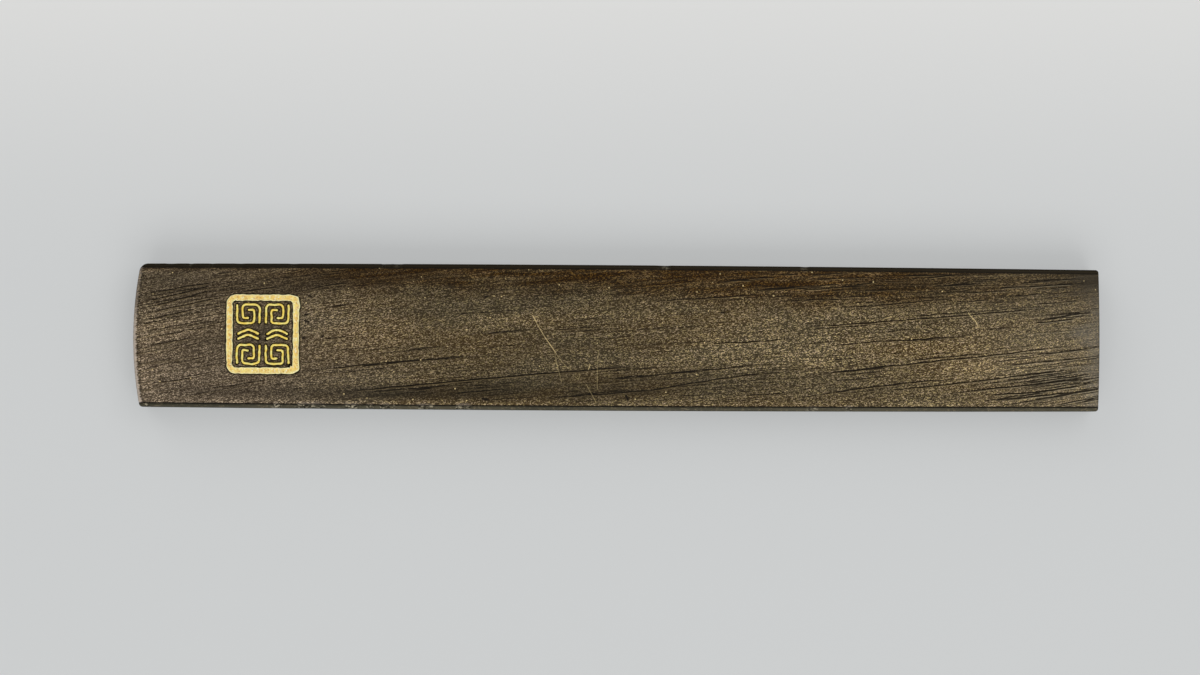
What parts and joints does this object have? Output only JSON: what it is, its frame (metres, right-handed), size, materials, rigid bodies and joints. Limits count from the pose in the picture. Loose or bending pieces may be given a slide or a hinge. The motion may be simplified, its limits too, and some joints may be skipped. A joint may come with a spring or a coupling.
{
  "type": "ink stick shaped knife handle",
  "caption": "Flat hollow metal knife handle in the form of an ink stick, with a domed grained face, an inlaid gold seal at the butt and a tang slot in the mouth.",
  "frame": {"origin": "under the middle of the handle, on the plane that its back rests on", "axes": "+X along the handle from the rounded butt to the open mouth, +Y across it, +Z out of the decorated face"},
  "size_m": [0.097, 0.0146, 0.0055],
  "materials": {
    "patinated_alloy": "dark brown patinated copper alloy, matted and grained on the face",
    "plain_alloy": "the same patinated alloy, smooth satin",
    "gold_sheet": "matt hammered gold, burnished along its edges",
    "gold_wire": "bright gold wire, hammered flush",
    "solder": "dull silver solder"
  },
  "bodies": {
    "root": {"front_plate": "patinated_alloy", "back_channel": "plain_alloy", "butt_cap": "plain_alloy", "mouth_plate": "plain_alloy", "seal_border": "gold_sheet", "seal_wire_01": "gold_wire", "seal_wire_02": "gold_wire", "seal_wire_03": "gold_wire", "seal_wire_04": "gold_wire", "seal_wire_05": "gold_wire", "seal_wire_06": "gold_wire", "seal_wire_07": "gold_wire", "seal_wire_08": "gold_wire", "seal_wire_09": "gold_wire", "seal_wire_10": "gold_wire", "seal_wire_11": "gold_wire", "seal_wire_12": "gold_wire", "butt_solder_bead": "solder", "mouth_solder_bead": "solder", "upper_solder_bead": "solder", "lower_solder_bead": "solder"}
  },
  "joints": []
}
